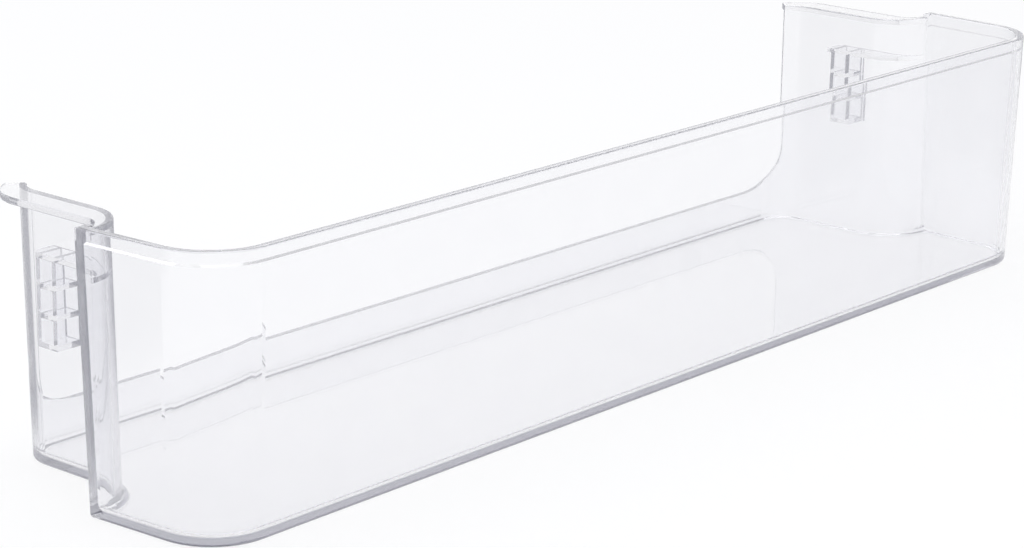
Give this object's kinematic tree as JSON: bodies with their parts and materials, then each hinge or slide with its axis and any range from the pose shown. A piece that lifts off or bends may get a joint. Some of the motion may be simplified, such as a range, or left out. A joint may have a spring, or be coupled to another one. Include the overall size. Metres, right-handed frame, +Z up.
{
  "type": "refrigerator door shelf",
  "caption": "Clear moulded refrigerator door shelf: a deep tray with a high front, a low back, and narrower ears with flanges and ledges that hang on the door's ribs.",
  "frame": {"origin": "middle of the underside, half way between the front face and the back", "axes": "+X along the shelf, -Y towards the front face that looks into the kitchen, +Y back towards the door, +Z up"},
  "size_m": [0.4864, 0.1197, 0.0974],
  "materials": {
    "clear_plastic": "clear, polished all over, with a faint cool tint where one looks along an edge"
  },
  "bodies": {
    "root": {"door_shelf": "clear_plastic"}
  },
  "joints": []
}
